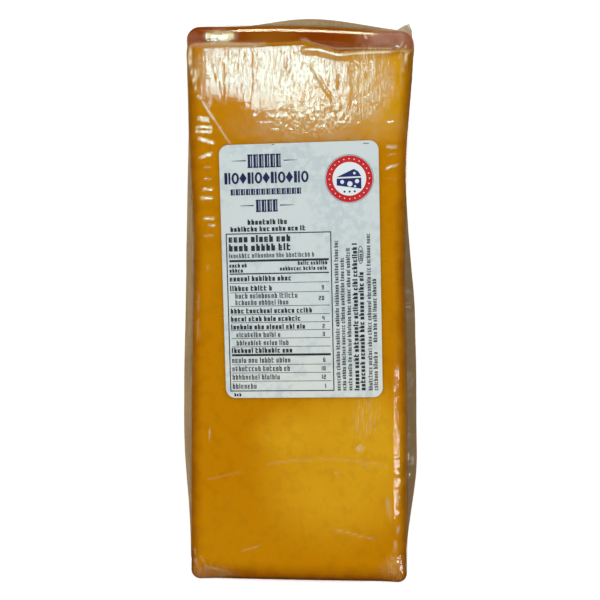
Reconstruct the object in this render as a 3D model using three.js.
// A block of smoked mozzarella, vacuum packed in a clear film bag with a paper label on its front.
// Millimetres, +Z up. The block lies on its back with the label up, and +Y points to the end
// with the wide seal. The origin is the middle of the flat face that it rests on.
import * as THREE from "three";

// Driving dimensions of the block
const LENGTH = 264;
const HEIGHT = 90;
const WAIST_WIDTH = 98.8; // where the block is narrowest
const WAIST_Y = 15;
const HEAD_FLARE = { left: 3.9, right: 5.2 }; // how much further each side stands out at the +Y end
const HEAD_FLARE_POWER = 1.6; // the sides keep opening towards the +Y end
const FOOT_FLARE = 1.3; // of each side at the -Y end
const FOOT_FLARE_POWER = 3; // the sides have opened long before the -Y end
const SIDE_BULGE = 0.8; // of the walls, half way up
const HEAD_CORNER = 6; // corner radii seen from above
const FOOT_CORNER = 4.5;
const HEAD_EDGE = 8.5; // rounding between the front face and the +Y end
const SIDE_EDGE = 4.8;
const FOOT_EDGE = 3.6;
const REST_EDGE = 4; // rounding round the face that the block rests on
const CORNER_SHARE = 0.85; // of a corner's radius, the most that an edge is rounded there
const EDGE_GROWTH = 0.3; // how much more an edge may be rounded for each millimetre from a corner
const HEAD_BOW = 1.3; // the +Y end stands out in its middle
const HEAD_SKEW = 0.5; // the +Y end is further out on the left
const FOOT_SKEW = 1.2; // the -Y end is further out on the right
const END_FROM = 0.5; // share of the half length beyond which the ends' bow and skew set in
const HEAD_FALL = 2.6; // the front face falls towards the +Y end
const HEAD_FALL_FROM = 78;
const FOOT_FALL = 1.1;
const FOOT_FALL_FROM = -100;

// The seam, where the bag's front and back sheets are pressed together round the block
const SEAM_HEIGHT = 36;
const SEAM_THICKNESS = 1;
const TENT_HEIGHT = 6; // the film leaves the walls this far above and below the seam
const TENT_REACH = 2.2;
const TENT_KNEE = { reach: 0.35, height: 0.36 }; // shares of the two where the film bends outwards
const NARROW_FIN = 3.4;
const LEFT_FIN = { extra: 3.6, from: -122, full: [-50, 20], to: 98 };
const RIGHT_FIN = { extra: 5.3, from: -132, full: [-72, -10], to: 76 };
const HEAD_TAIL = { least: 7.2, arch: 5.6, middle: 1.5, spread: 30 };
const FOOT_TAIL = 6;
const EAR = { reach: 7, angle: 69, spread: 10 }; // the pointed tab at the +X +Y corner, in degrees
const FIN_DROOP = 2.4;
const FIN_RIPPLE = { height: 0.8, wavelength: 47 };

// The label
const LABEL_WIDTH = 75;
const LABEL_LENGTH = 120.6;
const LABEL_CORNER = 4.5;
const LABEL_THICKNESS = 0.4;
const LABEL_GAP = 0.3;
const LABEL_MIDDLE = [1.6, 15.2];
const LABEL_TURN = 1.3; // degrees
const LABEL_RISE = 1.2; // the top edge is cut askew, by this much higher at its right end

// Steps of the mesh
const ARC_STEPS = 3; // in half a corner
const ACROSS_STEPS = 12; // along the straight of each end
const ALONG_STEPS = 34; // along the straight of each side
const EDGE_STEPS = 4; // over a rounded edge
const WALL_STEPS = 2;
const LABEL_CORNER_STEPS = 6;

const HALF_LENGTH = LENGTH / 2;
const HALF_WAIST = WAIST_WIDTH / 2;

const smooth = (t) => THREE.MathUtils.smoothstep(t, 0, 1);
const radians = THREE.MathUtils.degToRad;

// One turn round the block seen from above, counter-clockwise from the -X -Y corner's middle, as
// points with their outward normals and the room that there is to round the front edge inwards.
// Its four sides are the foot, right, head and left.
function outline() {
  const corners = [
    [-1, -1, FOOT_CORNER],
    [1, -1, FOOT_CORNER],
    [1, 1, HEAD_CORNER],
    [-1, 1, HEAD_CORNER],
  ];
  const at = ([sideX, sideY, radius], degrees) => {
    const normal = new THREE.Vector2(Math.cos(radians(degrees)), Math.sin(radians(degrees)));
    const centre = new THREE.Vector2(sideX * (HALF_WAIST - radius), sideY * (HALF_LENGTH - radius));
    return { point: centre.addScaledVector(normal, radius), normal, room: CORNER_SHARE * radius };
  };
  const turn = [];
  corners.forEach((corner, side) => {
    const next = corners[(side + 1) % 4];
    const facing = 270 + 90 * side;
    const steps = side % 2 ? ALONG_STEPS : ACROSS_STEPS;
    for (let i = 0; i < ARC_STEPS; i++) turn.push(at(corner, facing - 45 + (45 * i) / ARC_STEPS));
    const first = at(corner, facing);
    const last = at(next, facing);
    for (let i = 0; i < steps; i++) {
      const point = first.point.clone().lerp(last.point, i / steps);
      const roomFrom = (end) => end.room + EDGE_GROWTH * point.distanceTo(end.point);
      turn.push({ point, normal: first.normal, room: Math.min(roomFrom(first), roomFrom(last)) });
    }
    for (let i = 0; i < ARC_STEPS; i++) turn.push(at(next, facing + (45 * i) / ARC_STEPS));
  });
  return turn;
}

// Radius of the front face's rounded edge, which differs between the head, the foot and the sides
function frontEdge({ normal, room }) {
  const end = normal.y > 0 ? HEAD_EDGE : FOOT_EDGE;
  return Math.min(room, SIDE_EDGE * normal.x ** 2 + end * normal.y ** 2);
}

function sideFin(y, { extra, from, full, to }) {
  const rising = smooth((y - from) / (full[0] - from));
  const falling = smooth((to - y) / (to - full[1]));
  return NARROW_FIN + extra * rising * falling;
}

// How far the seam stands out from the block at a point of the outline
function finWidth({ point, normal }) {
  const side = sideFin(point.y, normal.x < 0 ? LEFT_FIN : RIGHT_FIN);
  const arch = Math.exp(-(((point.x - HEAD_TAIL.middle) / HEAD_TAIL.spread) ** 2));
  const end = normal.y > 0 ? HEAD_TAIL.least + HEAD_TAIL.arch * arch : FOOT_TAIL;
  const offEar = THREE.MathUtils.radToDeg(Math.atan2(normal.y, normal.x)) - EAR.angle;
  const ear = EAR.reach * Math.exp(-((offEar / EAR.spread) ** 2));
  return side * normal.x ** 2 + end * normal.y ** 2 + ear;
}

// Height of the seam's middle, reach being 0 at the block and 1 at the fin's free edge
function finHeight({ point }, reach) {
  const along = point.x + point.y;
  const ripple = FIN_RIPPLE.height * Math.sin((2 * Math.PI * along) / FIN_RIPPLE.wavelength);
  return SEAM_HEIGHT + ripple * reach - FIN_DROOP * reach ** 2;
}

// The turns of the bag from the front face, over its edge, down the wall, out along the seam and
// back, and down to the resting face. Each is a function from an outline point to offset and height.
function profile() {
  const turns = [];
  const quarter = Math.PI / 2;
  for (let i = 0; i <= EDGE_STEPS; i++) {
    const angle = (quarter * i) / EDGE_STEPS;
    turns.push((p) => {
      const radius = frontEdge(p);
      return [radius * (Math.sin(angle) - 1), HEIGHT - radius * (1 - Math.cos(angle))];
    });
  }
  for (let i = 1; i < WALL_STEPS; i++) {
    const share = i / WALL_STEPS;
    turns.push((p) => [0, THREE.MathUtils.lerp(HEIGHT - frontEdge(p), SEAM_HEIGHT + TENT_HEIGHT, share)]);
  }
  const half = SEAM_THICKNESS / 2;
  const tent = (up) => [
    () => [0, SEAM_HEIGHT + up * TENT_HEIGHT],
    () => [TENT_REACH * TENT_KNEE.reach, SEAM_HEIGHT + up * TENT_HEIGHT * TENT_KNEE.height],
    (p) => [TENT_REACH, finHeight(p, TENT_REACH / finWidth(p)) + up * half],
    (p) => [finWidth(p), finHeight(p, 1) + up * half],
  ];
  turns.push(...tent(1), ...tent(-1).reverse());
  for (let i = 0; i <= EDGE_STEPS; i++) {
    const angle = (quarter * i) / EDGE_STEPS;
    turns.push(() => [REST_EDGE * (Math.cos(angle) - 1), REST_EDGE * (1 - Math.sin(angle))]);
  }
  return turns;
}

// The block's own unevenness, which moves every point of the bag
function settled(x, y, z) {
  const up = z / HEIGHT;
  const head = Math.max(0, (y - WAIST_Y) / (HALF_LENGTH - WAIST_Y));
  const foot = Math.max(0, (WAIST_Y - y) / (HALF_LENGTH + WAIST_Y));
  const headFlare = x < 0 ? HEAD_FLARE.left : HEAD_FLARE.right;
  const flare = headFlare * head ** HEAD_FLARE_POWER + FOOT_FLARE * (1 - (1 - foot) ** FOOT_FLARE_POWER);
  const bulge = SIDE_BULGE * (1 - (2 * up - 1) ** 2);
  const across = x / HALF_WAIST;
  const along = y / HALF_LENGTH;
  const headShare = smooth((along - END_FROM) / (1 - END_FROM));
  const footShare = smooth((-along - END_FROM) / (1 - END_FROM));
  const bow = headShare * (HEAD_BOW * (1 - across ** 2) - HEAD_SKEW * across);
  const skew = -footShare * FOOT_SKEW * across;
  const fall =
    HEAD_FALL * smooth((y - HEAD_FALL_FROM) / (HALF_LENGTH - HEAD_FALL_FROM)) +
    FOOT_FALL * smooth((FOOT_FALL_FROM - y) / (HALF_LENGTH + FOOT_FALL_FROM));
  return [x + across * (flare + bulge), y + bow + skew, z - fall * up];
}

// A grid of points that fills the inside of one turn, bent to meet it on all four sides
function filled(turn, across, along) {
  const foot = (i) => turn[i];
  const right = (j) => turn[across + j];
  const head = (i) => turn[across + along + (across - i)];
  const left = (j) => turn[(2 * across + along + (along - j)) % turn.length];
  const share = (from, at, to) => (at - from) / (to - from);
  const grid = [];
  for (let j = 0; j <= along; j++) {
    const v = share(left(0).y, left(j).y, left(along).y);
    for (let i = 0; i <= across; i++) {
      const u = share(foot(0).x, foot(i).x, foot(across).x);
      const point = foot(i).clone().multiplyScalar(1 - v).addScaledVector(head(i), v);
      point.addScaledVector(left(j), 1 - u).addScaledVector(right(j), u);
      point.addScaledVector(foot(0), -(1 - u) * (1 - v)).addScaledVector(foot(across), -u * (1 - v));
      point.addScaledVector(head(0), -(1 - u) * v).addScaledVector(head(across), -u * v);
      grid.push(point);
    }
  }
  return grid;
}

// The index in a filled grid of each point of its turn
function gridRim(across, along) {
  const at = (i, j) => j * (across + 1) + i;
  const rim = [];
  for (let i = 0; i < across; i++) rim.push(at(i, 0));
  for (let j = 0; j < along; j++) rim.push(at(across, j));
  for (let i = across; i > 0; i--) rim.push(at(i, along));
  for (let j = along; j > 0; j--) rim.push(at(0, j));
  return rim;
}

// The bag with the block in it, as one closed skin
function sealedBag() {
  const turn = outline();
  const turns = profile();
  const across = ACROSS_STEPS + 2 * ARC_STEPS;
  const along = ALONG_STEPS + 2 * ARC_STEPS;
  const placed = (place) =>
    turn.map((p) => {
      const [offset, height] = place(p);
      const flat = p.point.clone().addScaledVector(p.normal, offset);
      return new THREE.Vector3(flat.x, flat.y, height);
    });

  const points = [];
  const add = (list) => {
    const first = points.length;
    points.push(...list);
    return first;
  };
  const rim = gridRim(across, along);
  const front = filled(placed(turns[0]), across, along);
  const back = filled(placed(turns.at(-1)), across, along);
  const frontFirst = add(front);
  const loops = [rim.map((i) => frontFirst + i)];
  for (const place of turns.slice(1, -1)) {
    const first = add(placed(place));
    loops.push(turn.map((_, i) => first + i));
  }
  const backFirst = add(back);
  loops.push(rim.map((i) => backFirst + i));

  const triangles = [];
  const quad = (a, b, c, d) => triangles.push(a, b, c, a, c, d);
  for (let j = 0; j < along; j++) {
    for (let i = 0; i < across; i++) {
      const at = j * (across + 1) + i;
      const corners = [at, at + 1, at + across + 2, at + across + 1];
      quad(...corners.map((c) => frontFirst + c));
      quad(...corners.map((c) => backFirst + c).reverse());
    }
  }
  for (let k = 0; k + 1 < loops.length; k++) {
    turn.forEach((_, i) => {
      const next = (i + 1) % turn.length;
      quad(loops[k][i], loops[k + 1][i], loops[k + 1][next], loops[k][next]);
    });
  }

  const geometry = new THREE.BufferGeometry();
  const positions = points.flatMap((p) => settled(p.x, p.y, p.z));
  geometry.setAttribute("position", new THREE.Float32BufferAttribute(positions, 3));
  geometry.setIndex(triangles);
  geometry.computeVertexNormals();
  return geometry;
}

function labelPlate() {
  const halfWidth = LABEL_WIDTH / 2;
  const halfLength = LABEL_LENGTH / 2;
  const plate = new THREE.Shape();
  plate.moveTo(halfWidth, LABEL_CORNER - halfLength);
  plate.absarc(halfWidth - LABEL_CORNER, halfLength - LABEL_CORNER, LABEL_CORNER, 0, Math.PI / 2);
  plate.absarc(LABEL_CORNER - halfWidth, halfLength - LABEL_CORNER, LABEL_CORNER, Math.PI / 2, Math.PI);
  plate.absarc(LABEL_CORNER - halfWidth, LABEL_CORNER - halfLength, LABEL_CORNER, Math.PI, 1.5 * Math.PI);
  plate.absarc(halfWidth - LABEL_CORNER, LABEL_CORNER - halfLength, LABEL_CORNER, 1.5 * Math.PI, 2 * Math.PI);
  const geometry = new THREE.ExtrudeGeometry(plate, {
    depth: LABEL_THICKNESS,
    bevelEnabled: false,
    curveSegments: LABEL_CORNER_STEPS,
  });
  const { position } = geometry.attributes;
  for (let i = 0; i < position.count; i++) {
    const x = position.getX(i);
    const y = position.getY(i);
    position.setY(i, y + (LABEL_RISE * x * (y + halfLength)) / (halfWidth * LABEL_LENGTH));
  }
  return geometry;
}

function named(name, geometry, material) {
  const mesh = new THREE.Mesh(geometry, material);
  mesh.name = name;
  return mesh;
}

const cheeseInFilm = new THREE.MeshStandardMaterial({ color: 0xc0800a, roughness: 0.25, metalness: 0 });
const paper = new THREE.MeshStandardMaterial({ color: 0xd0d6d5, roughness: 0.55, metalness: 0 });

const pack = new THREE.Group();
pack.add(named("sealed_bag", sealedBag(), cheeseInFilm));
const label = named("label", labelPlate(), paper);
label.position.set(...LABEL_MIDDLE, HEIGHT + LABEL_GAP);
label.rotation.z = radians(LABEL_TURN);
pack.add(label);

export default pack;
